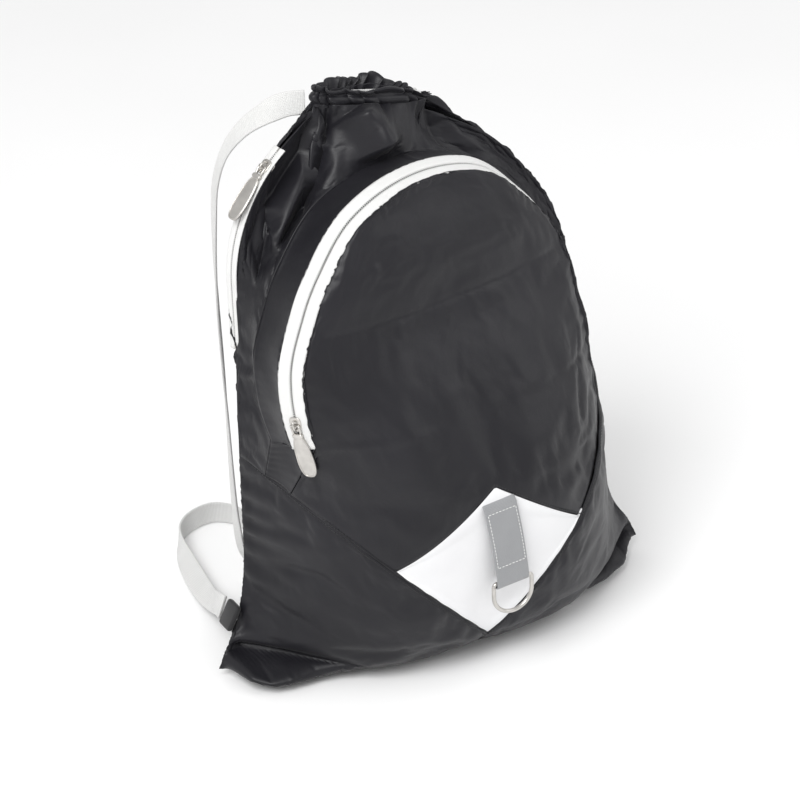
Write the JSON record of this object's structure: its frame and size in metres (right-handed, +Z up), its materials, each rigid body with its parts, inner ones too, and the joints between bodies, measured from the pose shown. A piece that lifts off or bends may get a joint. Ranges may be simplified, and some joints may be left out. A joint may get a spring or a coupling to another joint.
{
  "type": "drawstring backpack",
  "caption": "Stuffed drawstring sack with gathered mouth, arched zip pocket, side zip, diamond patch with D-ring and flat cord straps.",
  "frame": {"origin": "centre of the bag's footprint box, on the floor it stands on, straps left out", "axes": "+Z up, front pocket faces -Y, +X to the viewer's right when looking at the front"},
  "size_m": [0.3611, 0.3171, 0.4374],
  "materials": {
    "shell_fabric": "satin woven",
    "white_fabric": "satin woven",
    "zip_tape": "woven tape",
    "zip_coil": "moulded coil",
    "nickel": "satin nickel",
    "seam_thread": "stitched",
    "grey_webbing": "reflective tape",
    "binding": "woven binding",
    "strap_cotton": "flat woven cotton"
  },
  "bodies": {
    "bag": {"front_panel": "shell_fabric", "back_panel": "shell_fabric", "left_wing_panel": "shell_fabric", "right_wing_panel": "shell_fabric", "diamond_panel": "white_fabric", "pocket_panel": "shell_fabric", "pocket_gusset": "shell_fabric", "pocket_tape_outer": "zip_tape", "pocket_tape_inner": "zip_tape", "pocket_coil_outer": "zip_coil", "pocket_coil_inner": "zip_coil", "pocket_zip_stops": "nickel", "side_tape_front": "zip_tape", "side_tape_back": "zip_tape", "side_coil_front": "zip_coil", "side_coil_back": "zip_coil", "side_zip_stops": "nickel", "side_pocket_lining": "shell_fabric", "wing_seam_left": "seam_thread", "wing_seam_right": "seam_thread", "mouth_casing": "shell_fabric", "mouth_facing": "shell_fabric", "casing_cord": "strap_cotton", "ring_tab": "grey_webbing", "left_corner_tab": "binding", "right_corner_tab": "binding", "left_strap": "strap_cotton", "right_strap": "strap_cotton"},
    "pocket_slider": {"pocket_slider": "nickel"},
    "pocket_pull": {"pocket_pull": "nickel"},
    "side_slider": {"side_slider": "nickel"},
    "side_pull": {"side_pull": "nickel"},
    "d_ring": {"d_ring": "nickel"}
  },
  "joints": [
    {"name": "pocket_zip_travel", "type": "hinge", "parent": "bag", "child": "pocket_slider", "pos_m": [0, -0.012, 0.242], "axis": [-0.1547, 0.9768, -0.1478], "range_deg": [0, 190]},
    {"name": "pocket_pull_swing", "type": "hinge", "parent": "pocket_slider", "child": "pocket_pull", "pos_m": [-0.1343, -0.03702, 0.22743], "axis": [-0.5399, 0.8229, -0.1771], "range_deg": [0, 140]},
    {"name": "side_zip_travel", "type": "hinge", "parent": "bag", "child": "side_slider", "pos_m": [-0.02509, 0.06459, 0.304], "axis": [0.1392, -0.9903, 0], "range_deg": [0, 45]},
    {"name": "side_pull_swing", "type": "hinge", "parent": "side_slider", "child": "side_pull", "pos_m": [-0.10511, 0.05334, 0.38681], "axis": [-0.1392, 0.9903, 0], "range_deg": [0, 140]},
    {"name": "ring_swing", "type": "hinge", "parent": "bag", "child": "d_ring", "pos_m": [0.01, -0.092, 0.082], "axis": [-1, 0, 0], "range_deg": [0, 150]}
  ]
}
